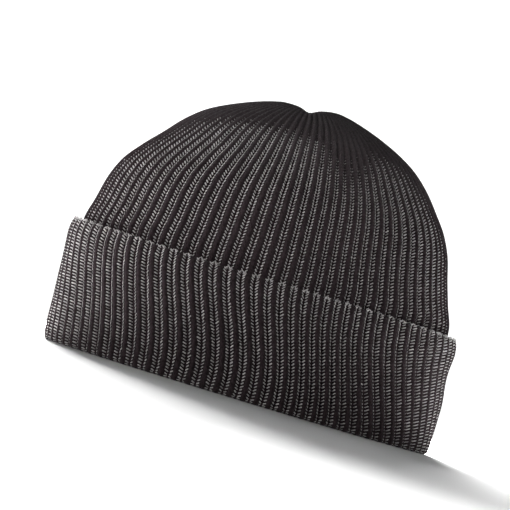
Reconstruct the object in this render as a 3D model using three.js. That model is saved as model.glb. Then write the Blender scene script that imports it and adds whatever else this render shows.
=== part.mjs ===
import * as THREE from "three";

// Ribbed fisherman beanie, in millimetres, standing on its folded rim.
// +Z points up, the front is at -Y, and the seam runs up the inside of the back.
// The origin lies on the floor, under the middle of the hat.

// Overall sizes
const hat_width = 192;
const hat_depth = 140;
const hat_height = 141;
const cuff_height = 56;

// Knit
const knit_thickness = 3.4;
const rib_count = 84;
const rib_depth = 1.3;

// Cuff and fold
const layer_gap = 0.3;
const cuff_slack = 2.0;
const fold_thickness = 4.2;
const fold_flat_width = 2.2;
const cuff_edge_round = 7;
const cuff_lean_deg = 9;
const cuff_ripple_deg = 1.3;
const cuff_dent_depth = 1.0;

// Gather on top
const gather_x = -5;
const gather_y = -7;
const gather_depth = 5.5;
const gather_radius = 15;
const pinch_depth = 2.4;
const pinch_width = 3.2;
const pinch_length = 17;
const right_lobe_lift = 1.4;

// Back seam, a narrow furrow between two ribs on the inside
const seam_angle_deg = 75;
const seam_depth = 0.5;

// The wall behind the cuff: shares of cuff_height, body half width and body half depth
const WALL = [
  { rise: 0.0, left: 1.0, right: 1.015, front: 1.0, back: 1.0 },
  { rise: 1.06, left: 1.02, right: 0.978, front: 0.79, back: 0.8 },
];

// The dome above the cuff: shares of the height left, body half width and body half depth,
// and pull, the share of the way that the row has moved towards the gather
const DOME = [
  { rise: 0.13, left: 0.994, right: 0.938, front: 0.762, back: 0.775, pull: 0.0 },
  { rise: 0.265, left: 0.967, right: 0.9, front: 0.736, back: 0.75, pull: 0.02 },
  { rise: 0.39, left: 0.921, right: 0.869, front: 0.705, back: 0.718, pull: 0.05 },
  { rise: 0.51, left: 0.838, right: 0.82, front: 0.656, back: 0.668, pull: 0.1 },
  { rise: 0.62, left: 0.744, right: 0.75, front: 0.593, back: 0.604, pull: 0.17 },
  { rise: 0.72, left: 0.66, right: 0.679, front: 0.532, back: 0.542, pull: 0.26 },
  { rise: 0.81, left: 0.556, right: 0.594, front: 0.457, back: 0.465, pull: 0.38 },
  { rise: 0.89, left: 0.41, right: 0.474, front: 0.351, back: 0.358, pull: 0.53 },
  { rise: 0.95, left: 0.262, right: 0.33, front: 0.235, back: 0.24, pull: 0.7 },
  { rise: 0.985, left: 0.135, right: 0.175, front: 0.124, back: 0.126, pull: 0.88 },
  { rise: 1.0, left: 0.05, right: 0.06, front: 0.045, back: 0.045, pull: 1.0 },
];

// Where around the hat the ribs stand closer together, and by what share
const RIB_CROWDING = { at_deg: 290, wide_deg: 26, share: 0.16 };

// Height of the cuff's free edge around the hat, as shares of cuff_height
const CUFF_EDGE = { left: 1.05, right: 0.99, front: 0.97, back: 1.0 };

// Ways that the cuff stands out or draws in: where it is centred around the hat, at what
// share of the cuff's height, how wide it is both ways, and shares of cuff_dent_depth
const CUFF_DENTS = [
  { at_deg: 0, up: 0.66, wide_deg: 16, tall: 0.16, out: -1.0 },
  { at_deg: 2, up: 0.42, wide_deg: 18, tall: 0.2, out: 0.7 },
  { at_deg: 212, up: 0.45, wide_deg: 14, tall: 0.22, out: -0.9 },
  { at_deg: 305, up: 0.6, wide_deg: 16, tall: 0.25, out: 0.8 },
  { at_deg: 95, up: 0.5, wide_deg: 22, tall: 0.3, out: -0.8 },
];

// Sizes that follow from the ones above
const body_half_width = hat_width / 2 - cuff_slack - knit_thickness - layer_gap;
const body_half_depth = hat_depth / 2 - knit_thickness - layer_gap;
const wall_height = cuff_height * WALL[1].rise;
const dome_height = hat_height - wall_height;
const crown_foot = fold_thickness + layer_gap;
const column_count = 2 * rib_count;
const side_crowding = (hat_width - hat_depth) / (2 * (hat_width + hat_depth));
const degree = Math.PI / 180;

// Small helpers
const mix = (from, to, share) => from + (to - from) * share;
const bump = (distance, reach) => Math.exp(-((distance / reach) ** 2));
const smooth = (value) => {
  const held = Math.min(1, Math.max(0, value));
  return held * held * (3 - 2 * held);
};
const turn_gap = (angle, other) => {
  const gap = (((angle - other) % 360) + 540) % 360;
  return gap - 180;
};

// Angle around the oval at a share of its girth, so that the ribs keep their width except
// where they crowd
function ovalAngle(turn) {
  const even = 2 * Math.PI * turn + side_crowding * Math.sin(4 * Math.PI * turn);
  const gap = turn_gap(even / degree, RIB_CROWDING.at_deg);
  return even - RIB_CROWDING.share * gap * bump(gap, RIB_CROWDING.wide_deg) * degree;
}

// One of four sizes by side, blended around the oval
function bySide(sides, angle) {
  const across = Math.cos(angle);
  const along = Math.sin(angle);
  const wide = across > 0 ? sides.right : sides.left;
  const deep = along > 0 ? sides.back : sides.front;
  return wide * across * across + deep * along * along;
}

// Half sizes of the body at a height on the straight wall behind the cuff
function wallSizes(height) {
  const share = height / wall_height;
  return {
    left: mix(WALL[0].left, WALL[1].left, share) * body_half_width,
    right: mix(WALL[0].right, WALL[1].right, share) * body_half_width,
    front: mix(WALL[0].front, WALL[1].front, share) * body_half_depth,
    back: mix(WALL[0].back, WALL[1].back, share) * body_half_depth,
  };
}

// Point of an oval with four half sizes, moved outwards along its level normal
function ovalPoint(sizes, angle, out, height) {
  const across = Math.cos(angle);
  const along = Math.sin(angle);
  const wide = across > 0 ? sizes.right : sizes.left;
  const deep = along > 0 ? sizes.back : sizes.front;
  const nx = deep * across;
  const ny = wide * along;
  const size = Math.hypot(nx, ny);
  return new THREE.Vector3(
    wide * across + (out * nx) / size,
    deep * along + (out * ny) / size,
    height
  );
}

// Height change from the gather: the hollow, the pinch that runs front to back through it
// and the fuller lobe on its right
function gatherChange(x, y) {
  const dx = x - gather_x;
  const dy = y - gather_y;
  const hollow = -gather_depth * bump(Math.hypot(dx, dy), gather_radius * 0.5);
  const pinch = -pinch_depth * bump(dx, pinch_width) * bump(dy, pinch_length);
  const lobe = right_lobe_lift * bump(dx - gather_radius, gather_radius) * bump(dy, pinch_length * 2);
  return hollow + pinch + lobe;
}

// Every row of the smooth outer surface of the body, from the foot of the wall to the gather
const wall_rows = [0.35, 0.86, 1.06].map((share) => share / WALL[1].rise);
const body_rows = [
  { height: crown_foot, sizes: wallSizes(crown_foot), pull: 0 },
  ...wall_rows.map((share) => ({
    height: mix(crown_foot, wall_height, share),
    sizes: wallSizes(mix(crown_foot, wall_height, share)),
    pull: 0,
  })),
  ...DOME.map((row) => ({
    height: wall_height + dome_height * row.rise,
    sizes: {
      left: row.left * body_half_width,
      right: row.right * body_half_width,
      front: row.front * body_half_depth,
      back: row.back * body_half_depth,
    },
    pull: row.pull,
  })),
];
const first_coarse_row = 1 + wall_rows.length + 8;

// Smooth outer point of the body on a row
function bodyPoint(row, angle) {
  const point = ovalPoint(row.sizes, angle, 0, row.height);
  point.x += gather_x * row.pull;
  point.y += gather_y * row.pull;
  if (row.pull > 0) {
    point.z += gatherChange(point.x, point.y) * smooth(row.pull * 2);
  }
  return point;
}

// Outward normal of the body at a row, from its neighbours around and along; level at the
// foot, which stays flat on the fold
function bodyNormal(index, angle) {
  const step = 0.02;
  const around = bodyPoint(body_rows[index], angle + step).sub(bodyPoint(body_rows[index], angle - step));
  const below = bodyPoint(body_rows[Math.max(0, index - 1)], angle);
  const above = bodyPoint(body_rows[Math.min(body_rows.length - 1, index + 1)], angle);
  const normal = around.cross(above.sub(below));
  if (index === 0) {
    normal.z = 0;
  }
  return normal.normalize();
}

// Ribs: ridge at +1 and valley at -1, in turn
const ribSide = (column) => (column % 2 === 0 ? 1 : -1);

// Share of the full rib depth on each row of the body: flat where the cuff hides the outside,
// full on the dome, and fading where the ribs run together at the gather
function ribShare(index, outside) {
  const hidden = outside && index < 2 ? 0 : 1;
  const row = body_rows[index];
  const narrow = (row.sizes.left + row.sizes.front) / (2 * body_half_depth);
  return hidden * Math.min(1, narrow * 1.6);
}

// Inner furrow of the back seam
function seamChange(angle) {
  return seam_depth * bump(turn_gap(angle / degree, seam_angle_deg), 2.2);
}

// Outer or inner point of the crown on a row
function crownPoint(index, column, outside) {
  const angle = ovalAngle(column / column_count);
  const normal = bodyNormal(index, angle);
  const relief = (rib_depth / 2) * ribSide(column) * ribShare(index, outside);
  const inward = outside ? rib_depth / 2 : knit_thickness - rib_depth / 2 - seamChange(angle);
  return bodyPoint(body_rows[index], angle).addScaledVector(normal, relief - inward);
}

// Closed mesh from rings of points; rings may halve their count from one to the next
class Shell {
  constructor() {
    this.points = [];
    this.faces = [];
  }
  ring(points) {
    const first = this.points.length;
    this.points.push(...points);
    return { first, count: points.length };
  }
  join(low, high) {
    const ratio = low.count / high.count;
    for (let i = 0; i < high.count; i += 1) {
      const h0 = high.first + i;
      const h1 = high.first + ((i + 1) % high.count);
      const at = (k) => low.first + ((i * ratio + k) % low.count);
      if (ratio === 1) {
        this.faces.push([at(0), at(1), h1], [at(0), h1, h0]);
      } else {
        this.faces.push([at(0), at(1), h0], [at(1), h1, h0], [at(1), at(2), h1]);
      }
    }
  }
  close(ring, centre) {
    const top = this.points.length;
    this.points.push(centre);
    for (let i = 0; i < ring.count; i += 1) {
      this.faces.push([ring.first + i, ring.first + ((i + 1) % ring.count), top]);
    }
  }
  flip(from) {
    for (let i = from; i < this.faces.length; i += 1) {
      this.faces[i].reverse();
    }
  }
  geometry() {
    const geometry = new THREE.BufferGeometry();
    const flat = this.points.flatMap((point) => [point.x, point.y, point.z]);
    geometry.setAttribute("position", new THREE.Float32BufferAttribute(flat, 3));
    geometry.setIndex(this.faces.flat());
    geometry.computeVertexNormals();
    return geometry;
  }
}

const every = (count, make) => Array.from({ length: count }, (_, i) => make(i));

// One side of the crown, as rings from the foot up; the rows near the gather have one
// column a rib
function crownSide(shell, outside, rows, coarse_from) {
  const rings = rows.map((index) => {
    const coarse = index >= coarse_from;
    const count = coarse ? rib_count : column_count;
    return shell.ring(every(count, (i) => crownPoint(index, coarse ? 2 * i : i, outside)));
  });
  const from = shell.faces.length;
  for (let i = 1; i < rings.length; i += 1) {
    shell.join(rings[i - 1], rings[i]);
  }
  const last = body_rows.length - 1;
  const middle = bodyPoint(body_rows[last], 0).add(bodyPoint(body_rows[last], Math.PI));
  middle.multiplyScalar(0.5);
  middle.z -= outside ? rib_depth : knit_thickness;
  shell.close(rings[rings.length - 1], middle);
  if (!outside) {
    shell.flip(from);
  }
  return rings[0];
}

// Crown: the dome and the wall behind the cuff, hollow and open below
function crownGeometry() {
  const shell = new Shell();
  const last = body_rows.length - 1;
  const outer_rows = every(body_rows.length, (i) => i);
  const inner_rows = [0, 2, 4, 6, 8, 9, 10, 11, 12].filter((index) => index < last);
  const outer_foot = crownSide(shell, true, outer_rows, first_coarse_row);
  const inner_foot = crownSide(shell, false, inner_rows, first_coarse_row);
  shell.join(inner_foot, outer_foot);
  return shell.geometry();
}

// Height of the cuff's free edge at an angle
const cuffEdge = (angle) => cuff_height * bySide(CUFF_EDGE, angle);

// How far the cuff stands out or draws in
function dentOut(angle, up) {
  return CUFF_DENTS.reduce((sum, dent) => {
    const around = bump(turn_gap(angle / degree, dent.at_deg), dent.wide_deg);
    return sum + dent.out * cuff_dent_depth * around * bump(up - dent.up, dent.tall);
  }, 0);
}

// Share of a turn by which the cuff's ribs have moved at a share of its height: they lean
// from the fold to the free edge and ripple on the way
function ribLean(turn, up) {
  const lean = -cuff_lean_deg * smooth(up);
  const ripple = cuff_ripple_deg * Math.sin(2 * Math.PI * (3 * turn + 0.1)) * Math.sin(Math.PI * up);
  return (lean + ripple) / 360;
}

// The cuff's section, going round it: height above the floor from the fold or down from the
// free edge, distance out from the body, and how much of the rib shows
const wall_out = layer_gap;
const cuff_out = layer_gap + knit_thickness;
const fold_round = Math.min(fold_thickness, (knit_thickness * 2 + layer_gap - fold_flat_width) / 2);
const SECTION = [
  { up: 0, add: fold_thickness, out: wall_out, slack: 0, rib: 0 },
  { up: 1, add: -cuff_edge_round * 0.17, out: wall_out, slack: 1, rib: 0 },
  { up: 1, add: 0, out: mix(wall_out, cuff_out, 0.5), slack: 1, rib: 0.35 },
  { up: 1, add: -cuff_edge_round * 0.32, out: cuff_out - knit_thickness * 0.15, slack: 0.95, rib: 0.9 },
  { up: 1, add: -cuff_edge_round, out: cuff_out, slack: 0.95, rib: 1 },
  { up: 0.62, add: 0, out: cuff_out, slack: 0.55, rib: 1 },
  { up: 0.36, add: 0, out: cuff_out, slack: 0.25, rib: 1 },
  { up: 0, add: fold_round * 2.2, out: cuff_out, slack: 0, rib: 1 },
  { up: 0, add: fold_round * 0.35, out: cuff_out - fold_round * 0.35, slack: 0, rib: 0.8 },
  { up: 0, add: 0, out: cuff_out - fold_round, slack: 0, rib: 0.25 },
  { up: 0, add: 0, out: cuff_out - fold_round - fold_flat_width, slack: 0, rib: 0.25 },
  { up: 0, add: fold_round * 0.4, out: -knit_thickness + fold_round * 0.3, slack: 0, rib: 0.8 },
  { up: 0, add: fold_thickness, out: -knit_thickness, slack: 0, rib: 1 },
];

// Point of the cuff's section at a column
function cuffPoint(part, column) {
  const turn = column / column_count;
  const straight = ovalAngle(turn);
  const edge = cuffEdge(straight);
  const height = part.up * edge + part.add;
  const up = height / edge;
  const angle = ovalAngle(turn + ribLean(turn, up) + cuff_lean_deg / 720);
  const inner_side = part.out < 0;
  const relief = ((rib_depth / 2) * (ribSide(column) - (inner_side ? -1 : 1))) * part.rib;
  const free = part.out > wall_out ? dentOut(angle, up) * smooth(up * 4) : 0;
  const out = part.out + part.slack * cuff_slack + free + relief;
  return ovalPoint(wallSizes(height), angle, out, height);
}

// Cuff: the turned-up band with its rolled fold and free edge
function cuffGeometry() {
  const shell = new Shell();
  const rings = SECTION.map((part) => shell.ring(every(column_count, (i) => cuffPoint(part, i))));
  rings.forEach((ring, i) => shell.join(rings[(i + 1) % rings.length], ring));
  return shell.geometry();
}

// Materials
const crown_knit = new THREE.MeshStandardMaterial({ color: 0x3a3536, roughness: 0.95, metalness: 0 });
const cuff_knit = new THREE.MeshStandardMaterial({ color: 0x484345, roughness: 0.95, metalness: 0 });

// Scene graph
const crown = new THREE.Mesh(crownGeometry(), crown_knit);
crown.name = "crown";
const cuff = new THREE.Mesh(cuffGeometry(), cuff_knit);
cuff.name = "cuff";
const beanie = new THREE.Group();
beanie.name = "beanie";
beanie.add(crown, cuff);

// The sides differ a little, so the whole is moved until the origin lies under its middle
const middle = new THREE.Box3().setFromObject(beanie, true).getCenter(new THREE.Vector3());
beanie.position.set(-middle.x, -middle.y, 0);

export default beanie;
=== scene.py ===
"""Ribbed fisherman beanie standing on its folded rim, knitted in two yarns."""

import math

import bmesh
import bpy
import numpy as np
from mathutils import Matrix, Vector


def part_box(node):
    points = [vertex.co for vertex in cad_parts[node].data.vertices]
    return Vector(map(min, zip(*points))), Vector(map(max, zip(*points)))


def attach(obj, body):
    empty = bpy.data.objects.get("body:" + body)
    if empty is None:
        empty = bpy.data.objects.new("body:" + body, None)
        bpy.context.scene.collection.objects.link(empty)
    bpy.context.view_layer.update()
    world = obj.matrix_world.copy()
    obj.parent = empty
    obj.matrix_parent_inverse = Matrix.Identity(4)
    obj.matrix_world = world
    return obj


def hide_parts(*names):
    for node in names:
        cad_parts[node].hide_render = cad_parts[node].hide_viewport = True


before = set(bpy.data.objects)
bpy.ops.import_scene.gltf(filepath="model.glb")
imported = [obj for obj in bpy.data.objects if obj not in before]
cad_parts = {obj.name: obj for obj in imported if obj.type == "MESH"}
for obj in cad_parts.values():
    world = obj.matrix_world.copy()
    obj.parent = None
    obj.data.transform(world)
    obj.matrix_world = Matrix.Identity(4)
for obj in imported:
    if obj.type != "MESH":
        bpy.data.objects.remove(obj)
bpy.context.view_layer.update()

bl_info = {
    "name": "Fisherman Beanie",
    "version": (1, 0, 0),
    "blender": (4, 5, 0),
    "location": "View3D > Sidebar > Beanie",
    "description": "Builds a rib-knit beanie with a turned-up cuff, stitch by stitch",
    "category": "Object",
}

# Sizes in millimetres, the same as those of the solids
HAT_WIDTH = 192.0
HAT_DEPTH = 140.0
HAT_HEIGHT = 141.0
CUFF_HEIGHT = 56.0
KNIT_THICKNESS = 3.4
RIB_COUNT = 84
LAYER_GAP = 0.3
CUFF_SLACK = 2.0
FOLD_THICKNESS = 4.2
FOLD_FLAT_WIDTH = 2.2
CUFF_EDGE_ROUND = 7.0
CUFF_LEAN_DEG = 9.0
CUFF_RIPPLE_DEG = 1.3
GATHER_X = -5.0
GATHER_Y = -7.0
GATHER_DEPTH = 5.5
GATHER_RADIUS = 15.0
PINCH_DEPTH = 2.4
PINCH_WIDTH = 3.2
PINCH_LENGTH = 17.0
RIGHT_LOBE_LIFT = 1.4
SEAM_ANGLE_DEG = 75.0

# Sizes in millimetres that only the new pieces have
EDGE_SCALLOP = 0.45
SEAM_PITCH = 2.2
KNOT_SIZE = 2.2
KNOT_TAIL = 5.0
KNOT_LIFT = 0.9
NARROWEST_STITCHED = 1.1
FULL_RIB_WIDTH = 4.6
CLOSED_RIB_WIDTH, OPENING_OVER = 1.9, 2.9

# Places along the cuff's section: where the stitches of the fold start, where the seam ends
# short of the flat foot on the floor, where fold and outside meet, and the free edge
FOLD_START, SEAM_END, FOLD_END = 0.3, 2.4, 3.6
TIPS_LOW, TIPS_HIGH, OUTSIDE_END = 10.4, 10.95, 11.6

# Rows of the meshes, and the share of a turn at the middle of the front, along which the
# rows are spaced
CROWN_OUTER_ROWS, CROWN_INNER_ROWS, CUFF_ROWS = 62, 38, 84
FRONT = 0.75

# Places along a curve at which its length is measured
FINE_STEPS, FINEST_STEPS = 600, 900

MM = 0.001
PER_METRE = 1000
QUARTER_RIB = 0.25 / RIB_COUNT

BODY_HALF_WIDTH = HAT_WIDTH / 2 - CUFF_SLACK - KNIT_THICKNESS - LAYER_GAP
BODY_HALF_DEPTH = HAT_DEPTH / 2 - KNIT_THICKNESS - LAYER_GAP
CROWN_FOOT = FOLD_THICKNESS + LAYER_GAP
SIDE_CROWDING = (HAT_WIDTH - HAT_DEPTH) / (2 * (HAT_WIDTH + HAT_DEPTH))

# Where round the hat the ribs stand closer together, and by what share
CROWDED_AT_DEG, CROWDED_WIDE_DEG, CROWDED_SHARE = 290.0, 26.0, 0.16

# The wall behind the cuff: rise as a share of the cuff's height, then shares of the
# body's half width and half depth
WALL = (
    # rise, left, right, front, back
    (0.0, 1.0, 1.015, 1.0, 1.0),
    (1.06, 1.02, 0.978, 0.79, 0.8),
)

# The dome: rise as a share of the height above the wall, shares of the body's half
# sizes, and the share of the way that the row has moved towards the gather
DOME = (
    # rise, left, right, front, back, pull
    (0.13, 0.994, 0.938, 0.762, 0.775, 0.0),
    (0.265, 0.967, 0.9, 0.736, 0.75, 0.02),
    (0.39, 0.921, 0.869, 0.705, 0.718, 0.05),
    (0.51, 0.838, 0.82, 0.656, 0.668, 0.1),
    (0.62, 0.744, 0.75, 0.593, 0.604, 0.17),
    (0.72, 0.66, 0.679, 0.532, 0.542, 0.26),
    (0.81, 0.556, 0.594, 0.457, 0.465, 0.38),
    (0.89, 0.41, 0.474, 0.351, 0.358, 0.53),
    (0.95, 0.262, 0.33, 0.235, 0.24, 0.7),
    (0.985, 0.135, 0.175, 0.124, 0.126, 0.88),
    (1.0, 0.05, 0.06, 0.045, 0.045, 1.0),
    (1.0, 0.0, 0.0, 0.0, 0.0, 1.0),
)

# Height of the cuff's free edge: shares of the cuff's height at each side
EDGE_LEFT, EDGE_RIGHT, EDGE_FRONT, EDGE_BACK = 1.05, 0.99, 0.97, 1.0

# Where the cuff stands out or draws in
CUFF_DENTS = (
    # at_deg, up, wide_deg, tall, out
    (0.0, 0.66, 16.0, 0.16, -1.0),
    (2.0, 0.42, 18.0, 0.2, 0.7),
    (212.0, 0.45, 14.0, 0.22, -0.9),
    (305.0, 0.6, 16.0, 0.25, 0.8),
    (95.0, 0.5, 22.0, 0.3, -0.8),
)

WALL_OUT = LAYER_GAP
CUFF_OUT = LAYER_GAP + KNIT_THICKNESS
FOLD_ROUND = min(FOLD_THICKNESS, (KNIT_THICKNESS * 2 + LAYER_GAP - FOLD_FLAT_WIDTH) / 2)
FLAT_OUT = CUFF_OUT - FOLD_ROUND

# The cuff's section from the lip inside the hat, under the fold, up the outside, over the
# free edge and down its hidden back: share of the edge height, height added, distance out,
# share of the slack, and how far the ribs stand, negative where the light columns do
SECTION = (
    # up, add, out, slack, rib
    (0, FOLD_THICKNESS + 1.6, -KNIT_THICKNESS + 0.25, 0, -0.9),
    (0, FOLD_THICKNESS, -KNIT_THICKNESS, 0, -0.9),
    (0, FOLD_ROUND * 0.5, -KNIT_THICKNESS + FOLD_ROUND * 0.25, 0, -0.7),
    (0, 0, FLAT_OUT - FOLD_FLAT_WIDTH, 0, -0.1),
    (0, 0, FLAT_OUT, 0, 0.25),
    (0, FOLD_ROUND * 0.35, CUFF_OUT - FOLD_ROUND * 0.35, 0, 0.6),
    (0, FOLD_ROUND * 2.2, CUFF_OUT, 0, 1),
    (0.36, 0, CUFF_OUT, 0.25, 1),
    (0.62, 0, CUFF_OUT, 0.55, 1),
    (1, -CUFF_EDGE_ROUND, CUFF_OUT, 0.95, 1),
    (1, -CUFF_EDGE_ROUND * 0.32, CUFF_OUT - KNIT_THICKNESS * 0.15, 0.95, 0.9),
    (1, 0, (WALL_OUT + CUFF_OUT) / 2, 1, 0.6),
    (1, -CUFF_EDGE_ROUND * 0.17, WALL_OUT, 1, 0.3),
    (0, FOLD_THICKNESS + 0.3, WALL_OUT, 0, 0),
    (0, FOLD_THICKNESS + 1.6, -KNIT_THICKNESS + 0.25, 0, -0.9),
)

# Relief across one rib: share of the way from one ridge to the next, and height as a share
# of the rib depth. The light columns lie in the middle: on the outside in a valley between
# the dark ridges, on the inside on a ridge of their own.
OUTER_RIB = (
    # across, height
    (0.0, 1.0),
    (0.08, 0.95),
    (0.14, 0.78),
    (0.18, 0.5),
    (0.3, 0.26),
    (0.5, 0.0),
    (0.7, 0.26),
    (0.82, 0.5),
    (0.86, 0.78),
    (0.92, 0.95),
)
INNER_PEAK = 0.74
INNER_RIB = (
    # across, height
    (0.0, 0.0),
    (0.08, 0.04),
    (0.14, 0.12),
    (0.18, 0.2),
    (0.3, 0.6),
    (0.5, INNER_PEAK),
    (0.7, 0.6),
    (0.82, 0.2),
    (0.86, 0.12),
    (0.92, 0.04),
)


def bump(distance, reach):
    """Round hump of height one."""
    return np.exp(-((distance / reach) ** 2))


def smooth(value):
    """Eased step from 0 to 1."""
    held = np.clip(value, 0.0, 1.0)
    return held * held * (3 - 2 * held)


def through(rows, at):
    """Smooth curve through the rows of a table that never passes beyond them."""
    rows = np.asarray(rows, float)
    steps = np.diff(rows, axis=0)
    low, high = steps[:-1], steps[1:]
    same = low * high > 0
    total = np.where(same, low + high, 1.0)
    inner = np.where(same, 2 * low * high / total, 0.0)
    slopes = np.vstack([steps[:1], inner, steps[-1:]])
    at = np.clip(at, 0, len(rows) - 1 - 1e-9)
    first = at.astype(int)
    t = (at - first)[..., None]
    a, b = rows[first], rows[first + 1]
    ma, mb = slopes[first], slopes[first + 1]
    return (
        (2 * t**3 - 3 * t**2 + 1) * a
        + (t**3 - 2 * t**2 + t) * ma
        + (3 * t**2 - 2 * t**3) * b
        + (t**3 - t**2) * mb
    )


def turn_gap(angle_deg, other_deg):
    """Shortest way between two angles in degrees."""
    return (angle_deg - other_deg + 540) % 360 - 180


def oval_angle(turn):
    """Angle round the oval at a share of its girth."""
    even = 2 * np.pi * turn + SIDE_CROWDING * np.sin(4 * np.pi * turn)
    gap = turn_gap(np.degrees(even), CROWDED_AT_DEG)
    return even - CROWDED_SHARE * np.radians(gap) * bump(gap, CROWDED_WIDE_DEG)


def oval_point(left, right, front, back, angle, out, height):
    """Point of an oval with four half sizes, moved out along its level normal."""
    across, along = np.cos(angle), np.sin(angle)
    wide = np.where(across > 0, right, left)
    deep = np.where(along > 0, back, front)
    nx, ny = deep * across, wide * along
    size = np.maximum(np.hypot(nx, ny), 1e-9)
    x = wide * across + out * nx / size
    y = deep * along + out * ny / size
    return np.stack([x, y, height + 0 * x], axis=-1)


def wall_sizes(height):
    """The body's four half sizes at a height on the wall behind the cuff."""
    share = height / (CUFF_HEIGHT * WALL[1][0])
    low, high = np.array(WALL[0][1:]), np.array(WALL[1][1:])
    scale = np.array([BODY_HALF_WIDTH, BODY_HALF_WIDTH, BODY_HALF_DEPTH, BODY_HALF_DEPTH])
    sizes = (low + (high - low) * np.asarray(share)[..., None]) * scale
    return sizes[..., 0], sizes[..., 1], sizes[..., 2], sizes[..., 3]


def body_table():
    """Rows of the body from the foot of the wall to the gather."""
    wall_height = CUFF_HEIGHT * WALL[1][0]
    rows = []
    for share in (0.0, 0.35, 0.7, 0.86, 1.0):
        height = CROWN_FOOT + (wall_height - CROWN_FOOT) * share
        rows.append([height, *(float(size) for size in wall_sizes(height)), 0.0])
    for rise, left, right, front, back, pull in DOME:
        rows.append(
            [
                wall_height + (HAT_HEIGHT - wall_height) * rise,
                left * BODY_HALF_WIDTH,
                right * BODY_HALF_WIDTH,
                front * BODY_HALF_DEPTH,
                back * BODY_HALF_DEPTH,
                pull,
            ]
        )
    return np.array(rows)


BODY = body_table()
BODY_END = len(BODY) - 1


def gather_change(x, y):
    """Hollow, pinch and fuller lobe on top of the dome."""
    dx, dy = x - GATHER_X, y - GATHER_Y
    hollow = -GATHER_DEPTH * bump(np.hypot(dx, dy), GATHER_RADIUS * 0.5)
    pinch = -PINCH_DEPTH * bump(dx, PINCH_WIDTH) * bump(dy, PINCH_LENGTH)
    lobe = RIGHT_LOBE_LIFT * bump(dx - GATHER_RADIUS, GATHER_RADIUS) * bump(dy, PINCH_LENGTH * 2)
    return hollow + pinch + lobe


def body_surface(turn, along):
    """Smooth outer surface of the body."""
    row = through(BODY, along)
    height, left, right, front, back, pull = np.moveaxis(row, -1, 0)
    point = oval_point(left, right, front, back, oval_angle(turn), 0.0, height)
    point[..., 0] += GATHER_X * pull
    point[..., 1] += GATHER_Y * pull
    point[..., 2] += gather_change(point[..., 0], point[..., 1]) * smooth(pull * 2)
    return point


def cuff_edge(angle):
    """Height of the cuff's free edge."""
    across, along = np.cos(angle), np.sin(angle)
    wide = np.where(across > 0, EDGE_RIGHT, EDGE_LEFT)
    deep = np.where(along > 0, EDGE_BACK, EDGE_FRONT)
    return CUFF_HEIGHT * (wide * across**2 + deep * along**2)


def dent_out(angle, up):
    """How far the cuff stands out or draws in."""
    total = 0.0
    for at_deg, level, wide_deg, tall, out in CUFF_DENTS:
        around = bump(turn_gap(np.degrees(angle), at_deg), wide_deg)
        total = total + out * around * bump(up - level, tall)
    return total


def rib_lean(turn, up):
    """Share of a turn by which the cuff's ribs have moved on their way up."""
    lean = -CUFF_LEAN_DEG * smooth(up)
    ripple = CUFF_RIPPLE_DEG * np.sin(2 * np.pi * (3 * turn + 0.1)) * np.sin(np.pi * up)
    return (lean + ripple) / 360


def cuff_surface(turn, along):
    """Smooth surface of the cuff, along its section."""
    part_up, add, out, slack, _rib = np.moveaxis(through(SECTION, along), -1, 0)
    edge = cuff_edge(oval_angle(turn))
    height = part_up * edge + add
    up = height / edge
    height = height - EDGE_SCALLOP * np.cos(2 * np.pi * RIB_COUNT * turn) * smooth(up * 9 - 8)
    angle = oval_angle(turn + rib_lean(turn, up) + CUFF_LEAN_DEG / 720)
    free = dent_out(angle, up) * smooth(up * 4) * smooth((out - WALL_OUT) * 2)
    left, right, front, back = wall_sizes(height)
    return oval_point(left, right, front, back, angle, out + slack * CUFF_SLACK + free, height)


def with_normal(surface, turn, along):
    """Points of a surface and its unit normals."""
    point = surface(turn, along)
    around = surface(turn + 2e-4, along) - surface(turn - 2e-4, along)
    ahead = surface(turn, along + 2e-3) - surface(turn, along - 2e-3)
    normal = np.cross(around, ahead)
    size = np.linalg.norm(normal, axis=-1, keepdims=True)
    return point, normal / np.maximum(size, 1e-12)


def rib_width(surface, turn, along):
    """Width of one rib where it passes a place."""
    apart = surface(turn + QUARTER_RIB, along) - surface(turn - QUARTER_RIB, along)
    return 2 * np.linalg.norm(apart, axis=-1)


def openness(width):
    """How far the ribs leave the light column between them open: 0 near the top, where they
    are narrow and close over it."""
    return smooth((width - CLOSED_RIB_WIDTH) / OPENING_OVER)


def round_relief(across):
    """Height across a rib that closes over the light columns, 0 to 1."""
    off = (across + 0.5) % 1.0 - 0.5
    return np.sqrt(np.maximum(0.0, 1.0 - (2 * off) ** 2))


def rib_relief(table, across):
    """Height across a rib from its table, 0 to 1."""
    xs = [row[0] for row in table] + [1.0]
    ys = [row[1] for row in table] + [table[0][1]]
    return np.interp(across % 1.0, xs, ys)


def steps_between(surface, turn, along):
    """Distances from each place on a surface to the next."""
    return np.linalg.norm(np.diff(surface(turn, along), axis=0), axis=1)


def even_rows(surface, low, high, count, crowd=None):
    """Values of the along parameter that lie evenly on the surface from low to high."""
    fine = np.linspace(low, high, FINE_STEPS)
    steps = steps_between(surface, np.full(FINE_STEPS, FRONT), fine)
    if crowd is not None:
        steps = steps * crowd(0.5 * (fine[1:] + fine[:-1]))
    run = np.concatenate([[0.0], np.cumsum(steps)])
    return np.interp(np.linspace(0, run[-1], count), run, fine)


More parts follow.
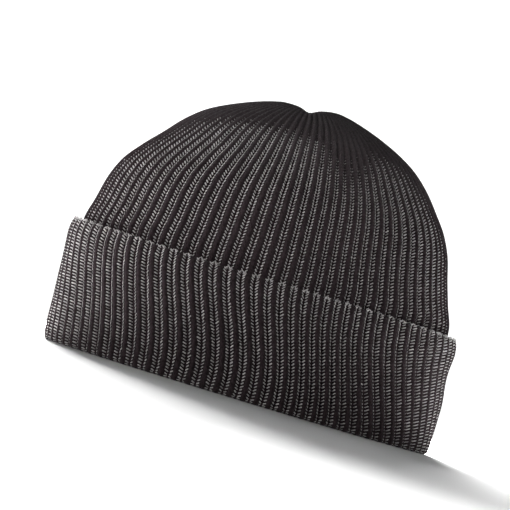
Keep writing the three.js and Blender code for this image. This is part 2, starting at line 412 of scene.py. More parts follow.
def wrapped_sheet(name, columns, rows, place):
    """Grid wrapped round the hat: place turns shares across and along into points and uvs."""
    grid = bmesh.new()
    grid.loops.layers.uv.new("UVMap")
    bmesh.ops.create_grid(grid, x_segments=columns, y_segments=rows, size=0.5, calc_uvs=True)
    mesh = bpy.data.meshes.new(name)
    grid.to_mesh(mesh)
    grid.free()
    flat = np.empty(len(mesh.vertices) * 3, np.float32)
    mesh.vertices.foreach_get("co", flat)
    flat = flat.reshape(-1, 3)
    column = np.rint((flat[:, 0] + 0.5) * columns).astype(int)
    row = np.rint((flat[:, 1] + 0.5) * rows).astype(int)
    points, uvs = place(column, row)
    mesh.vertices.foreach_set("co", (points * MM).astype(np.float32).ravel())
    corners = np.empty(len(mesh.loops), np.int32)
    mesh.loops.foreach_get("vertex_index", corners)
    mesh.uv_layers[0].data.foreach_set("uv", uvs[corners].astype(np.float32).ravel())
    shell = bmesh.new()
    shell.from_mesh(mesh)
    bmesh.ops.remove_doubles(shell, verts=shell.verts, dist=2e-6)
    bmesh.ops.dissolve_degenerate(shell, edges=shell.edges, dist=1e-7)
    bmesh.ops.recalc_face_normals(shell, faces=shell.faces)
    for face in shell.faces:
        face.smooth = True
    shell.to_mesh(mesh)
    shell.free()
    return mesh


def middle_shift():
    """The solids are centred over their origin, so the new pieces move by as much."""
    turn = np.linspace(0, 1, 2001)
    lows, highs = [], []
    for along in np.linspace(4, 11, 60):
        points = cuff_surface(turn, np.full(turn.shape, along))
        lows.append(points.min(axis=0))
        highs.append(points.max(axis=0))
    middle = (np.min(lows, axis=0) + np.max(highs, axis=0)) / 2
    low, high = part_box("cuff")
    return (
        (low[0] + high[0]) / 2 - middle[0] * MM,
        (low[1] + high[1]) / 2 - middle[1] * MM,
        0.0,
    )


SHIFT = middle_shift()


def finish_piece(name, mesh, material, nodes=()):
    """Adds a finished mesh to the scene as a piece of the hat."""
    old = bpy.data.objects.get(name)
    if old is not None:
        bpy.data.objects.remove(old, do_unlink=True)
    mesh.transform(Matrix.Translation(Vector(SHIFT)))
    piece = bpy.data.objects.new(name, mesh)
    bpy.context.scene.collection.objects.link(piece)
    mesh.materials.clear()
    mesh.materials.append(material)
    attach(piece, "root")
    if nodes:
        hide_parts(*nodes)
    return piece


class Wire:
    """A node socket that takes part in sums."""

    def __init__(self, net, socket):
        self.net = net
        self.socket = socket

    def _math(self, operation, *values, clamp=False):
        return self.net.add(
            "ShaderNodeMath", {"operation": operation, "use_clamp": clamp}, dict(enumerate(values))
        )

    def __add__(self, other):
        return self._math("ADD", self, other)

    def __radd__(self, other):
        return self._math("ADD", other, self)

    def __sub__(self, other):
        return self._math("SUBTRACT", self, other)

    def __rsub__(self, other):
        return self._math("SUBTRACT", other, self)

    def __mul__(self, other):
        return self._math("MULTIPLY", self, other)

    def __rmul__(self, other):
        return self._math("MULTIPLY", other, self)

    def __truediv__(self, other):
        return self._math("DIVIDE", self, other)

    def __mod__(self, other):
        return self._math("FLOORED_MODULO", self, other)

    def __abs__(self):
        return self._math("ABSOLUTE", self)

    def sine(self):
        return self._math("SINE", self)

    def held(self):
        return self._math("ADD", self, 0.0, clamp=True)


class Net:
    """The nodes of one material."""

    def __init__(self, name, preview):
        self.material = bpy.data.materials.get(name) or bpy.data.materials.new(name)
        self.material.use_nodes = True
        self.material.diffuse_color = preview
        self.tree = self.material.node_tree
        self.tree.nodes.clear()

    def add(self, kind, settings, sockets, out=0):
        """Adds a node: its settings first, then values or links by socket name or number."""
        node = self.tree.nodes.new(kind)
        for key, value in settings.items():
            setattr(node, key, value)
        for key, value in sockets.items():
            socket = node.inputs[key]
            if isinstance(value, Wire):
                self.tree.links.new(value.socket, socket)
            else:
                socket.default_value = value
        return Wire(self, node.outputs[out]) if len(node.outputs) else node

    def noise(self, place, scale, detail):
        """Soft noise from 0 to 1."""
        sockets = {"Vector": place, "Scale": scale, "Detail": detail}
        return self.add("ShaderNodeTexNoise", {}, sockets, out="Fac")

    def blend(self, share, low, high):
        """Colour between two colours."""
        return self.add(
            "ShaderNodeMix",
            {"data_type": "RGBA"},
            {"Factor": share, 6: low, 7: high},
            out=2,
        )

    def finish(self, shader):
        self.add("ShaderNodeOutputMaterial", {}, {"Surface": shader})
        return self.material


# Heights in metres over which the dark yarn is painted paler towards the top: painted light that
# stands in for light from above
PAINTED_LIGHT_FROM, PAINTED_LIGHT_OVER = 0.095, 0.04


def dark_yarn(look):
    """Ribs of dark yarn: soft strands along the rib, a little fuzz, slow changes of tone, and
    painted light that makes it paler towards the top.
    """
    net = Net("dark_yarn", (*look.dark_colour, 1.0))
    place = net.add("ShaderNodeTexCoord", {}, {}, out="Object")
    uv = net.add("ShaderNodeUVMap", {"uv_map": "UVMap"}, {})
    rib = net.add("ShaderNodeSeparateXYZ", {}, {"Vector": uv})
    course = Wire(net, rib.socket.node.outputs["Y"])
    across = (rib + 0.5) % 1.0 - 0.5
    cloud = net.noise(place, 26.0, 3.0)
    fuzz = net.noise(place, 850.0, 3.0)
    drawn = net.add(
        "ShaderNodeCombineXYZ", {}, {"X": rib * 22.0, "Y": course * 1.1, "Z": 0.0}
    )
    strand = net.noise(drawn, 1.0, 3.0)
    crest = (1.0 - abs(across) * 4.2).held()
    tone = (cloud * 0.5 + strand * 1.4 + fuzz * 1.6 + crest * 0.1 - 1.25).held()
    dark = tuple(c * 0.35 for c in look.dark_colour) + (1.0,)
    light = tuple(min(1.0, c * 1.9) for c in look.dark_colour) + (1.0,)
    colour = net.blend(tone, dark, light)
    # Painted light: the dark yarn's colour turns paler towards the top of the hat, standing in for
    # light from above
    level = net.add("ShaderNodeSeparateXYZ", {}, {"Vector": place}, out="Z")
    top_light_share = ((level - PAINTED_LIGHT_FROM) / PAINTED_LIGHT_OVER).held()
    grey = sum(look.dark_colour) / 3
    painted_top_light = tuple(min(1.0, (c * 0.4 + grey * 0.6) * 3.4) for c in look.dark_colour) + (1.0,)
    colour = net.blend(top_light_share * (tone * 0.5 + 0.45), colour, painted_top_light)
    stitch = ((course * 1.0 + abs(across) * 2.4) * (2 * math.pi)).sine()
    twist = ((rib * 5.0 + course * 0.5) * (2 * math.pi)).sine()
    height = stitch * 0.16 + twist * 0.1 + strand * 0.6 + fuzz * 1.2
    relief = net.add(
        "ShaderNodeBump", {}, {"Strength": 0.8, "Distance": 0.0005, "Height": height}
    )
    shader = net.add(
        "ShaderNodeBsdfPrincipled",
        {},
        {
            "Base Color": colour,
            "Roughness": 0.92,
            "Specular IOR Level": 0.02,
            "Sheen Weight": look.sheen,
            "Sheen Roughness": 0.45,
            "Sheen Tint": (0.85, 0.82, 0.84, 1.0),
            "Normal": relief,
        },
    )
    return net.finish(shader)


def light_yarn(look):
    """Stitches of light yarn: each leg has its own tone, with fibres and a little fuzz."""
    net = Net("light_yarn", (*look.light_colour, 1.0))
    place = net.add("ShaderNodeTexCoord", {}, {}, out="Object")
    own = net.add("ShaderNodeAttribute", {"attribute_name": "tone"}, {}, out="Fac")
    fuzz = net.noise(place, 1700.0, 4.0)
    cloud = net.noise(place, 34.0, 2.0)
    tone = (own * 0.6 + cloud * 0.4 + (fuzz - 0.5) * 0.5).held()
    dark = tuple(c * 0.5 for c in look.light_colour) + (1.0,)
    light = tuple(min(1.0, c * 1.35) for c in look.light_colour) + (1.0,)
    colour = net.blend(tone, dark, light)
    relief = net.add(
        "ShaderNodeBump", {}, {"Strength": 0.5, "Distance": 0.0002, "Height": fuzz}
    )
    shader = net.add(
        "ShaderNodeBsdfPrincipled",
        {},
        {
            "Base Color": colour,
            "Roughness": 0.85,
            "Specular IOR Level": 0.06,
            "Sheen Weight": look.sheen * 0.6,
            "Sheen Roughness": 0.5,
            "Normal": relief,
        },
    )
    return net.finish(shader)


def leg_shape():
    """One leg of a stitch, a plump bar of sixteen faces with its length on Z."""
    bar = bmesh.new()
    bmesh.ops.create_uvsphere(bar, u_segments=4, v_segments=3, radius=1.0)
    bmesh.ops.triangulate(bar, faces=bar.faces)
    mesh = bpy.data.meshes.new("leg_shape")
    bar.to_mesh(mesh)
    bar.free()
    points = np.array([vertex.co[:] for vertex in mesh.vertices])
    points[np.abs(points[:, 2]) < 0.9] *= (1.12, 1.12, 1.5)
    faces = np.array([face.vertices[:] for face in mesh.polygons])
    bpy.data.meshes.remove(mesh)
    return points, faces


def repeated(name, shape, centres, axes, tones):
    """Joined mesh of one shape at many places. axes holds the three scaled axes of each."""
    points, faces = shape
    count, corners = len(centres), len(points)
    all_points = np.einsum("pk,nkd->npd", points, axes) + centres[:, None, :]
    all_faces = faces[None] + (np.arange(count) * corners)[:, None, None]
    mesh = bpy.data.meshes.new(name)
    total = count * len(faces)
    mesh.vertices.add(count * corners)
    mesh.vertices.foreach_set("co", (all_points * MM).astype(np.float32).ravel())
    mesh.loops.add(total * 3)
    mesh.loops.foreach_set("vertex_index", all_faces.astype(np.int32).ravel())
    mesh.polygons.add(total)
    mesh.polygons.foreach_set("loop_start", np.arange(0, total * 3, 3, dtype=np.int32))
    mesh.polygons.foreach_set("use_smooth", np.ones(total, bool))
    mesh.update(calc_edges=True)
    own = mesh.attributes.new("tone", "FLOAT", "POINT")
    own.data.foreach_set("value", np.repeat(tones, corners).astype(np.float32))
    return mesh


def rib_places(surface, low, high, pitch, rise, narrowest, columns=None):
    """Every stitch on the light columns, or on the given ones: its share of a turn, where its
    leg starts and ends along the column, and the width of its rib."""
    turns, starts, ends = [], [], []
    fine = np.linspace(low, high, FINEST_STEPS)
    if columns is None:
        columns = (np.arange(RIB_COUNT) + 0.5) / RIB_COUNT
    for turn in columns:
        steps = steps_between(surface, np.full(fine.shape, turn), fine)
        run = np.concatenate([[0.0], np.cumsum(steps)])
        count = int(run[-1] / pitch)
        middle = (np.arange(count) + 0.5) * run[-1] / count
        half = rise * pitch / 2
        turns.append(np.full(count, turn))
        starts.append(np.interp(middle - half, run, fine))
        ends.append(np.interp(middle + half, run, fine))
    turn, start, end = np.concatenate(turns), np.concatenate(starts), np.concatenate(ends)
    width = rib_width(surface, turn, (start + end) / 2)
    kept = width > narrowest
    return turn[kept], start[kept], end[kept], width[kept]


# How much hand-made stitches vary: shares of their sizes, the height in millimetres, and
# the tone of the yarn from 0 to 1
VARIES = {
    "near": 0.15,
    "far": 0.07,
    "height": 0.09,
    "length": 0.05,
    "thick": 0.12,
    "tone": 0.3,
}


def stitch_legs(name, surface, places, side, pitch, form, rng, share=None):
    """Mesh of all the left (side -1) or right (side 1) legs of the stitches on a surface."""
    turn, start, end, width = places
    full = np.minimum(1.0, width / FULL_RIB_WIDTH)
    middle = (start + end) / 2
    _point, normal = with_normal(surface, turn, middle)
    foot, head = surface(turn, start), surface(turn, end)
    along_column = head - foot
    across = np.cross(normal, along_column)
    across /= np.maximum(np.linalg.norm(across, axis=-1, keepdims=True), 1e-9)
    onward = surface(turn + QUARTER_RIB, middle) - surface(turn - QUARTER_RIB, middle)
    reach = 2 * np.sum(across * onward, axis=-1, keepdims=True)
    jitter = rng.normal(0, 1, (5, len(turn), 1))
    stand = (full if share is None else full * share(middle))[:, None]
    shown = openness(width)[:, None]
    near = side * form["near"] * (1 + VARIES["near"] * jitter[0])
    far = side * form["far"] * (1 + VARIES["far"] * jitter[1]) * (0.4 + 0.6 * shown)
    far_height = form["far_height"] * stand - form["sunk"] * (1 - shown)
    far_height = far_height + VARIES["height"] * jitter[4]
    near_end = foot + across * reach * near + normal * form["near_height"] * stand
    far_end = head + across * reach * far + normal * far_height
    centre = (near_end + far_end) / 2
    length = (far_end - near_end) / 2 * (1.02 + VARIES["length"] * jitter[2])
    thick = form["thick"] * pitch / 2 * (1 + VARIES["thick"] * jitter[3])
    cross = np.cross(length, normal)
    cross /= np.maximum(np.linalg.norm(cross, axis=-1, keepdims=True), 1e-9)
    upward = np.cross(cross, length)
    upward /= np.maximum(np.linalg.norm(upward, axis=-1, keepdims=True), 1e-9)
    depth = form["deep"] * (0.35 + 0.65 * full[:, None])
    axes = np.stack([cross * thick, upward * depth, length], axis=1)
    tones = np.clip(rng.normal(0.5, VARIES["tone"], len(turn)), 0, 1)
    return repeated(name, leg_shape(), centre, axes, tones)


# Each leg runs from deep in the light column, near its middle, up to the ridge beside it:
# shares of the rib's width for its two ends, their heights in millimetres, its rise and
# thickness as shares of the stitch height, how deep the yarn is, and how far the leg sinks
# where the ribs close over it
OUTER_LEG = {
    "near": 0.07,
    "far": 0.285,
    "near_height": -1.78,
    "far_height": -0.25,
    "rise": 0.47,
    "thick": 0.4,
    "deep": 0.13,
    "sunk": 1.0,
}
CROWN_LEG = {**OUTER_LEG, "far": 0.235, "far_height": -0.5}
TIP_LEG = {
    "near": 0.02,
    "far": 0.24,
    "near_height": -0.05,
    "far_height": -0.4,
    "rise": 1.0,
    "thick": 0.4,
    "deep": 0.26,
    "sunk": 0.0,
}
INNER_LEG = {
    "near": 0.045,
    "far": 0.29,
    "near_height": -0.2,
    "far_height": -0.75,
    "rise": 0.7,
    "thick": 0.46,
    "deep": 0.36,
    "sunk": 0.0,
}

# The seam's thread stands proud of the knit
SEAM_LEG = {
    "near": 0.01,
    "far": 0.2,
    "near_height": 0.55,
    "far_height": 0.1,
    "rise": 0.35,
    "thick": 0.62,
    "deep": 0.4,
    "sunk": 0.0,
}


def section_rib(along):
    """How far the ribs stand at a place on the cuff's section."""
    return through(SECTION, along)[..., 4]


def crown_inner(turn, along):
    """Inner face of the crown: the outer one moved in by the knit's thickness, and walked
    from the top down so that its own normal points into the hat."""
    point, normal = with_normal(body_surface, turn, BODY_END - along)
    return point - normal * KNIT_THICKNESS


# Along the body: how far up the wall lies plain behind the cuff, drawn in by so many
# millimetres, and where the shell ends in the gather
BEHIND_CUFF, DRAWN_IN = 1.2, 0.6
GATHER_END = BODY_END - 0.02


def crown_mesh(sizes):
    """Closed shell of the crown, ribbed outside and inside."""
    per_rib = len(OUTER_RIB)
    columns = RIB_COUNT * per_rib

    def crowd(along):
        """Few rows behind the cuff."""
        return np.where(along < 2, 0.25, 1.0)

    outer = even_rows(body_surface, 0.0, GATHER_END, CROWN_OUTER_ROWS, crowd)
    inner = even_rows(body_surface, 0.0, GATHER_END, CROWN_INNER_ROWS)
    alongs = np.concatenate([inner[::-1], outer])
    inside = np.arange(len(alongs)) < CROWN_INNER_ROWS
    phases = np.array([row[0] for row in OUTER_RIB])
    steps = steps_between(body_surface, np.full(len(alongs), FRONT), alongs)
    runs = np.cumsum(np.r_[0, steps])

    def place(column, row):
        across = phases[column % per_rib] + column // per_rib
        turn = across / RIB_COUNT
        along = alongs[row]
        within = inside[row]
        _point, normal = with_normal(body_surface, turn, np.clip(along, 0.003, BODY_END - 0.01))
        point = body_surface(turn, along)
        foot = along < 0.01
        normal[foot, 2] = 0
        normal /= np.maximum(np.linalg.norm(normal, axis=-1, keepdims=True), 1e-9)
        width = rib_width(body_surface, turn, along)
        full = np.minimum(1.0, width / FULL_RIB_WIDTH)
        shows = smooth((along - BEHIND_CUFF) / BEHIND_CUFF)
        open_share = openness(width)
        relief = rib_relief(OUTER_RIB, across) * open_share
        relief = relief + round_relief(across) * (1 - open_share)
        out_low = (relief - 1.0) * sizes.rib_depth * PER_METRE * full * shows
        out_low = out_low * (0.6 + 0.4 * open_share)
        out_low = out_low - DRAWN_IN * (1 - shows)
        stand = rib_relief(INNER_RIB, across) * sizes.rib_depth * PER_METRE * full
        in_low = KNIT_THICKNESS - stand
        in_low = in_low - (1 - full) * 0.4
        move = np.where(within, -in_low, out_low)
        uvs = np.stack([across, runs[row] / (sizes.course_pitch * PER_METRE)], axis=-1)
        pole = along >= GATHER_END - 1e-6
        point = point + normal * move[:, None]
        if pole.any():
            point[pole & ~within] = point[pole & ~within].mean(axis=0)
            point[pole & within] = point[pole & within].mean(axis=0)
        return point, uvs

    return wrapped_sheet("crown_knit", columns, len(alongs) - 1, place)


def cuff_mesh(sizes):
    """Closed shell of the cuff with its fold and free edge."""
    per_rib = len(OUTER_RIB)
    columns = RIB_COUNT * per_rib
    last = len(SECTION) - 1

    def crowd(along):
        """Many rows on the fold and the free edge, few on the hidden back."""
        curved = (along < 5.5) | (along > 8.5)
        return np.where(along > 12.2, 0.12, np.where(curved, 1.8, 0.7))

    alongs = even_rows(cuff_surface, 0.0, float(last), CUFF_ROWS, crowd)
    phases = np.array([row[0] for row in OUTER_RIB])
    steps = steps_between(cuff_surface, np.full(CUFF_ROWS, FRONT), alongs)
    runs = np.cumsum(np.r_[0, steps])

    def place(column, row):
        across = phases[column % per_rib] + column // per_rib
        turn = across / RIB_COUNT
        along = alongs[row]
        _point, normal = with_normal(cuff_surface, turn, np.clip(along, 0.01, last - 0.01))
        point = cuff_surface(turn, along)
        rib = section_rib(along)
        outer = (rib_relief(OUTER_RIB, across) - 1.0) * np.maximum(rib, 0)
        inner = (rib_relief(INNER_RIB, across) - INNER_PEAK) * np.maximum(-rib, 0)
        point = point + normal * ((outer + inner) * sizes.rib_depth * PER_METRE)[:, None]
        point[:, 2] = np.maximum(point[:, 2], 0.0)
        uvs = np.stack([across, runs[row] / (sizes.course_pitch * PER_METRE)], axis=-1)
        return point, uvs

    return wrapped_sheet("cuff_knit", columns, CUFF_ROWS - 1, place)


class BeanieSizes(bpy.types.PropertyGroup):
    rib_depth: bpy.props.FloatProperty(
        name="Rib depth",
        description="Height of the dark ribs over the bottom of the light columns",
        default=0.0020,
        min=0.0003,
        max=0.003,
        unit="LENGTH",
        precision=4,
    )
    course_pitch: bpy.props.FloatProperty(
        name="Stitch height",
        description="Distance from one row of stitches to the next",
        default=0.00143,
        min=0.0012,
        max=0.004,
        unit="LENGTH",
        precision=4,
    )


class BeanieLook(bpy.types.PropertyGroup):
    dark_colour: bpy.props.FloatVectorProperty(
        name="Dark yarn",
        description="Colour of the yarn on the ribs",
        default=(0.0180, 0.0130, 0.0144),
        subtype="COLOR",
        size=3,
        min=0,
        max=1,
    )
    light_colour: bpy.props.FloatVectorProperty(
        name="Light yarn",
        description="Colour of the yarn between the ribs",
        default=(0.43, 0.412, 0.41),
        subtype="COLOR",
        size=3,
        min=0,
        max=1,
    )
    sheen: bpy.props.FloatProperty(
        name="Sheen",
        description="Soft gloss of the fibres at the hat's edges",
        default=0.1,
        min=0,
        max=1,
        subtype="FACTOR",
    )


class BeanieStage(bpy.types.PropertyGroup):
    distance: bpy.props.FloatProperty(
        name="Camera distance",
        description="From the camera to the middle of the hat, along the floor",
        default=0.8,
        unit="LENGTH",
    )
    height: bpy.props.FloatProperty(
        name="Camera height",
        description="Height of the camera above the floor",
        default=0.014,
        min=0.005,
        unit="LENGTH",
        precision=3,
    )
    roll: bpy.props.FloatProperty(
        name="Camera roll",
        description="How far the picture is tilted clockwise",
        default=math.radians(17.0),
        subtype="ANGLE",
    )
    aim: bpy.props.FloatVectorProperty(
        name="Aim",
        description="Point in the middle of the picture",
        default=(-0.0086, 0.0, 0.0666),
        subtype="TRANSLATION",
        unit="LENGTH",
        size=3,
    )
    lens: bpy.props.FloatProperty(
        name="Lens",
        description="Focal length of the camera",
        default=119.5,
        unit="CAMERA",
    )
    left_power: bpy.props.FloatProperty(
        name="Left light",
        description="Power of the soft light on the left",
        default=3.7,
        min=0,
        unit="POWER",
    )
    right_power: bpy.props.FloatProperty(
        name="Right light",
        description="Power of the soft light on the right",
        default=1.25,
        min=0,
        unit="POWER",
    )
    back_power: bpy.props.FloatProperty(
        name="Back light",
        description="Power of the soft light behind the hat",
        default=250.0,
        min=0,
        unit="POWER",
    )


def settings():
    """The beanie's settings in this scene."""
    scene = bpy.context.scene
    return scene.beanie_sizes, scene.beanie_look, scene.beanie_stage


class BEANIE_OT_crown(bpy.types.Operator):
    """Build the ribbed crown, hollow inside"""

    bl_idname = "beanie.crown"
    bl_label = "Crown"

    def execute(self, context):
        sizes, look, _stage = settings()
        finish_piece("crown_knit", crown_mesh(sizes), dark_yarn(look), ("crown",))
        return {"FINISHED"}


class BEANIE_OT_cuff(bpy.types.Operator):
    """Build the turned-up cuff with its fold and free edge"""

    bl_idname = "beanie.cuff"
    bl_label = "Cuff"

    def execute(self, context):
        sizes, look, _stage = settings()
        finish_piece("cuff_knit", cuff_mesh(sizes), dark_yarn(look), ("cuff",))
        return {"FINISHED"}


class BEANIE_OT_crown_stitches(bpy.types.Operator):
    """Lay the light stitches between the ribs of the crown"""

    bl_idname = "beanie.crown_stitches"
    bl_label = "Crown stitches"

    def execute(self, context):
        sizes, look, _stage = settings()
        pitch = sizes.course_pitch * PER_METRE
        rng = np.random.default_rng(11)
        places = rib_places(
            body_surface, 2.2, BODY_END - 0.3, pitch, CROWN_LEG["rise"], NARROWEST_STITCHED
        )
        for side, name in ((-1, "crown_left_legs"), (1, "crown_right_legs")):
            mesh = stitch_legs(name, body_surface, places, side, pitch, CROWN_LEG, rng)
            finish_piece(name, mesh, light_yarn(look))
        return {"FINISHED"}


class BEANIE_OT_cuff_stitches(bpy.types.Operator):
    """Lay the light stitches between the ribs of the cuff"""

    bl_idname = "beanie.cuff_stitches"
    bl_label = "Cuff stitches"

    def execute(self, context):
        sizes, look, _stage = settings()
        pitch = sizes.course_pitch * PER_METRE
        rng = np.random.default_rng(12)
        places = rib_places(
            cuff_surface, FOLD_END, OUTSIDE_END, pitch, OUTER_LEG["rise"], NARROWEST_STITCHED
        )

        def share(along):
            return np.clip(section_rib(along), 0.05, 1.0)

        for side, name in ((-1, "cuff_left_legs"), (1, "cuff_right_legs")):
            mesh = stitch_legs(name, cuff_surface, places, side, pitch, OUTER_LEG, rng, share)
            finish_piece(name, mesh, light_yarn(look))
        mesh = joined("edge_tips", [edge_tips(pitch, side, rng) for side in (-1, 1)])
        finish_piece("edge_tips", mesh, light_yarn(look))
        return {"FINISHED"}


def edge_tips(pitch, side, rng):
    """Legs that close each light column at the cuff's free edge, leaning inwards."""
    turn = (np.arange(RIB_COUNT) + 0.5) / RIB_COUNT
    low, high = np.full(RIB_COUNT, TIPS_LOW), np.full(RIB_COUNT, TIPS_HIGH)
    width = rib_width(cuff_surface, turn, low)
    places = (turn, high, low, width)
    return stitch_legs("tips", cuff_surface, places, side, pitch, TIP_LEG, rng)


def joined(name, meshes):
    """One mesh of several."""
    both = bmesh.new()
    for mesh in meshes:
        both.from_mesh(mesh)
        bpy.data.meshes.remove(mesh)
    mesh = bpy.data.meshes.new(name)
    both.to_mesh(mesh)
    both.free()
    return mesh


class BEANIE_OT_inside_stitches(bpy.types.Operator):
    """Lay the light stitches on the inside of the hat"""

    bl_idname = "beanie.inside_stitches"
    bl_label = "Inside stitches"

    def execute(self, context):
        sizes, look, _stage = settings()
        pitch = sizes.course_pitch * PER_METRE
        rng = np.random.default_rng(13)
        places = rib_places(
            crown_inner, 2.0, BODY_END - 0.05, pitch, INNER_LEG["rise"], NARROWEST_STITCHED
        )
        for side, name in ((-1, "inside_left_legs"), (1, "inside_right_legs")):
            mesh = stitch_legs(name, crown_inner, places, side, pitch, INNER_LEG, rng)
            finish_piece(name, mesh, light_yarn(look))
        places = rib_places(
            cuff_surface, FOLD_START, FOLD_END, pitch, INNER_LEG["rise"], NARROWEST_STITCHED
        )
        legs = [
            stitch_legs("leg", cuff_surface, places, side, pitch, INNER_LEG, rng)
            for side in (-1, 1)
        ]
        finish_piece("fold_legs", joined("fold_legs", legs), light_yarn(look))
        return {"FINISHED"}


def seam_yarn(look):
    """Sewing yarn of the back seam, darker than the light stitches."""
    net = Net("seam_yarn", (*look.dark_colour, 1.0))
    place = net.add("ShaderNodeTexCoord", {}, {}, out="Object")
    fuzz = net.noise(place, 1300.0, 3.0)
    low = tuple(c * 1.2 for c in look.dark_colour) + (1.0,)
    high = tuple(c * 0.3 for c in look.light_colour) + (1.0,)
    relief = net.add("ShaderNodeBump", {}, {"Strength": 0.5, "Distance": 0.0002, "Height": fuzz})
    shader = net.add(
        "ShaderNodeBsdfPrincipled",
        {},
        {
            "Base Color": net.blend(fuzz, low, high),
            "Roughness": 0.9,
            "Specular IOR Level": 0.05,
            "Normal": relief,
        },
    )
    return net.finish(shader)


def thread_knot(turn):
    """Small knot of the seam's thread at the rim, with two short ends."""
    turn = np.array([turn])
    point, normal = with_normal(cuff_surface, turn, np.array([0.9]))
    ahead = cuff_surface(turn, np.array([0.5])) - cuff_surface(turn, np.array([1.3]))
    at = Vector(point[0] + normal[0] * KNOT_LIFT)
    upward = Vector(ahead[0]).normalized()
    side = upward.cross(Vector(normal[0])).normalized()
    knot = bmesh.new()
    ball = bmesh.ops.create_uvsphere(
        knot, u_segments=12, v_segments=8, radius=KNOT_SIZE / 2
    )["verts"]
    bmesh.ops.scale(knot, verts=ball, vec=(1.3, 0.8, 1.0))
    bmesh.ops.translate(knot, verts=ball, vec=at)
    for way in (-1, 1):
        lean = (upward + side * 0.45 * way).normalized()
        turned = lean.to_track_quat("Z", "Y").to_matrix().to_4x4()
        end = bmesh.ops.create_cone(
            knot,
            cap_ends=True,
            segments=8,
            radius1=KNOT_SIZE * 0.16,
            radius2=KNOT_SIZE * 0.12,
            depth=KNOT_TAIL,
            matrix=Matrix.Translation(at + lean * KNOT_TAIL / 2) @ turned,
        )["verts"]
        bmesh.ops.translate(knot, verts=end, vec=Vector(normal[0]) * 0.2)
    bmesh.ops.scale(knot, verts=knot.verts, vec=(MM, MM, MM))
    for face in knot.faces:
        face.smooth = True
    mesh = bpy.data.meshes.new("knot")
    knot.to_mesh(mesh)
    knot.free()
    return mesh


class BEANIE_OT_seam(bpy.types.Operator):
    """Sew the back seam on the inside and tie its thread at the rim"""

    bl_idname = "beanie.seam"
    bl_label = "Back seam"

    def execute(self, context):
        _sizes, look, _stage = settings()
        rng = np.random.default_rng(14)
        column = np.round(SEAM_ANGLE_DEG / 360 * RIB_COUNT) / RIB_COUNT
        meshes = []
        runs = (
            (crown_inner, 2.0, BODY_END - 0.4),
            (cuff_surface, FOLD_START, SEAM_END),
        )
        for surface, low, high in runs:
            places = rib_places(surface, low, high, SEAM_PITCH, SEAM_LEG["rise"], 0.5, [column])
            for side in (-1, 1):
                meshes.append(stitch_legs("s", surface, places, side, SEAM_PITCH, SEAM_LEG, rng))
        finish_piece("back_seam", joined("back_seam", meshes), seam_yarn(look))
        finish_piece("seam_knot", thread_knot(column), seam_yarn(look))
        return {"FINISHED"}


class BEANIE_OT_stage(bpy.types.Operator):
    """Set the pale floor, the soft lights and the camera"""

    bl_idname = "beanie.stage"
    bl_label = "Stage"

    def execute(self, context):
        _sizes, _look, stage = settings()
        build_floor()
        build_lights(stage)
        build_camera(stage)
        return {"FINISHED"}


# The floor and its sweep up into the backdrop, in metres
FLOOR_WIDTH, FLOOR_FRONT, FLOOR_BACK = 8.0, -4.0, 1.2
SWEEP_RADIUS, BACKDROP_RISE = 0.8, 3.0


def build_floor():
    """Pale floor that sweeps up into a backdrop behind the hat."""
    net = Net("pale_floor", (0.9, 0.9, 0.9, 1.0))
    place = net.add("ShaderNodeTexCoord", {}, {}, out="Object")
    cloud = net.noise(place, 2.0, 2.0)
    colour = net.blend(cloud, (0.90, 0.90, 0.90, 1.0), (0.93, 0.93, 0.93, 1.0))
    shader = net.add(
        "ShaderNodeBsdfPrincipled",
        {},
        {
            "Base Color": colour,
            "Roughness": 0.9,
            "Specular IOR Level": 0.0,
        },
    )
    material = net.finish(shader)
    sweep = bmesh.new()
    left = -FLOOR_WIDTH / 2
    front = bmesh.ops.create_vert(sweep, co=(left, FLOOR_FRONT, 0.0))["vert"]
    back = bmesh.ops.create_vert(sweep, co=(left, FLOOR_BACK, 0.0))["vert"]
    sweep.edges.new((front[0], back[0]))
    curve = bmesh.ops.spin(
        sweep,
        geom=back,
        cent=(left, FLOOR_BACK, SWEEP_RADIUS),
        axis=(1, 0, 0),
        angle=math.radians(90),
        steps=16,
    )["geom_last"]
    rise = bmesh.ops.extrude_vert_indiv(
        sweep, verts=[item for item in curve if isinstance(item, bmesh.types.BMVert)]
    )["verts"]
    bmesh.ops.translate(sweep, verts=rise, vec=(0, 0, BACKDROP_RISE))
    wide = bmesh.ops.extrude_edge_only(sweep, edges=sweep.edges[:])["geom"]
    moved = [item for item in wide if isinstance(item, bmesh.types.BMVert)]
    bmesh.ops.translate(sweep, verts=moved, vec=(FLOOR_WIDTH, 0, 0))
    bmesh.ops.recalc_face_normals(sweep, faces=sweep.faces)
    for face in sweep.faces:
        face.smooth = True
    mesh = bpy.data.meshes.new("floor")
    sweep.to_mesh(mesh)
    sweep.free()
    mesh.materials.append(material)
    floor = bpy.data.objects.new("floor", mesh)
    bpy.context.scene.collection.objects.link(floor)


def add_light(name, place, aim, size, power):
    """Soft rectangular light."""
    data = bpy.data.lights.new(name, "AREA")
    data.shape = "RECTANGLE"
    data.size, data.size_y = size
    data.energy = power
    lamp = bpy.data.objects.new(name, data)
    bpy.context.scene.collection.objects.link(lamp)
    way = Vector(aim) - Vector(place)
    lamp.location = place
    lamp.rotation_euler = way.to_track_quat("-Z", "Y").to_euler()
    return lamp


# Watts of the backdrop's light, and strength of the room's own light
BACKDROP_POWER, ROOM_STRENGTH = 30.0, 0.05


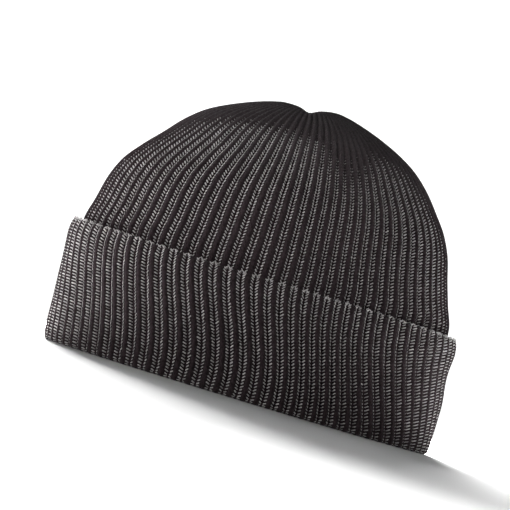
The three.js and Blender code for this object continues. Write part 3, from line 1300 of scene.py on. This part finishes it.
def build_lights(stage):
    """Low soft lights at both sides, the left one stronger, one behind the hat that lights
    only the floor and gives the shadow before the hat, one for the backdrop, and a dim room."""
    middle, soft_box = (0, 0, 0.06), (0.24, 0.15)
    add_light("left_box", (-0.70, -0.48, 0.09), middle, soft_box, stage.left_power)
    add_light("right_box", (0.62, -0.58, 0.09), middle, soft_box, stage.right_power)
    shade = add_light(
        "back_box", (-0.09, 1.0, 0.35), (0, -0.3, 0), (0.55, 0.26), stage.back_power
    )
    lit = bpy.data.collections.new("lit_from_behind")
    lit.objects.link(bpy.data.objects["floor"])
    shade.light_linking.receiver_collection = lit
    add_light("backdrop_box", (0, 0.9, 1.2), (0, 2.0, 0.3), (3.0, 0.3), BACKDROP_POWER)
    world = bpy.data.worlds.new("dim_room")
    bpy.context.scene.world = world
    world.use_nodes = True
    back = world.node_tree.nodes["Background"]
    back.inputs["Color"].default_value = (1.0, 1.0, 1.0, 1.0)
    back.inputs["Strength"].default_value = ROOM_STRENGTH


def build_camera(stage):
    """Camera in front of the hat, just above the floor and rolled as in the photograph."""
    data = bpy.data.cameras.new("camera")
    data.lens = stage.lens
    data.clip_start = 0.01
    data.clip_end = 50
    camera = bpy.data.objects.new("camera", data)
    bpy.context.scene.collection.objects.link(camera)
    aim = Vector(stage.aim)
    camera.location = (aim.x, aim.y - stage.distance, stage.height)
    look = (aim - camera.location).to_track_quat("-Z", "Y")
    roll = Matrix.Rotation(stage.roll, 3, "Z").to_quaternion()
    camera.rotation_mode = "QUATERNION"
    camera.rotation_quaternion = look @ roll
    bpy.context.scene.camera = camera
    bpy.context.scene.view_settings.view_transform = "Standard"


class BEANIE_PT_panel(bpy.types.Panel):
    """Sizes, colours and pieces of the beanie"""

    bl_label = "Fisherman Beanie"
    bl_idname = "BEANIE_PT_panel"
    bl_space_type = "VIEW_3D"
    bl_region_type = "UI"
    bl_category = "Beanie"

    def draw(self, context):
        layout = self.layout
        for group in settings():
            box = layout.box()
            for key in group.__annotations__:
                box.prop(group, key)
        for operator in OPERATORS:
            layout.operator(operator.bl_idname)


OPERATORS = (
    BEANIE_OT_crown,
    BEANIE_OT_cuff,
    BEANIE_OT_crown_stitches,
    BEANIE_OT_cuff_stitches,
    BEANIE_OT_inside_stitches,
    BEANIE_OT_seam,
    BEANIE_OT_stage,
)
GROUPS = (BeanieSizes, BeanieLook, BeanieStage)
CLASSES = (*GROUPS, *OPERATORS, BEANIE_PT_panel)


def register():
    for cls in CLASSES:
        bpy.utils.register_class(cls)
    scene = bpy.types.Scene
    scene.beanie_sizes = bpy.props.PointerProperty(type=BeanieSizes)
    scene.beanie_look = bpy.props.PointerProperty(type=BeanieLook)
    scene.beanie_stage = bpy.props.PointerProperty(type=BeanieStage)


def unregister():
    scene = bpy.types.Scene
    del scene.beanie_stage, scene.beanie_look, scene.beanie_sizes
    for cls in reversed(CLASSES):
        bpy.utils.unregister_class(cls)


def main():
    register()
    bpy.ops.beanie.crown()
    bpy.ops.beanie.cuff()
    bpy.ops.beanie.crown_stitches()
    bpy.ops.beanie.cuff_stitches()
    bpy.ops.beanie.inside_stitches()
    bpy.ops.beanie.seam()
    bpy.ops.beanie.stage()


if __name__ == "__main__":
    main()
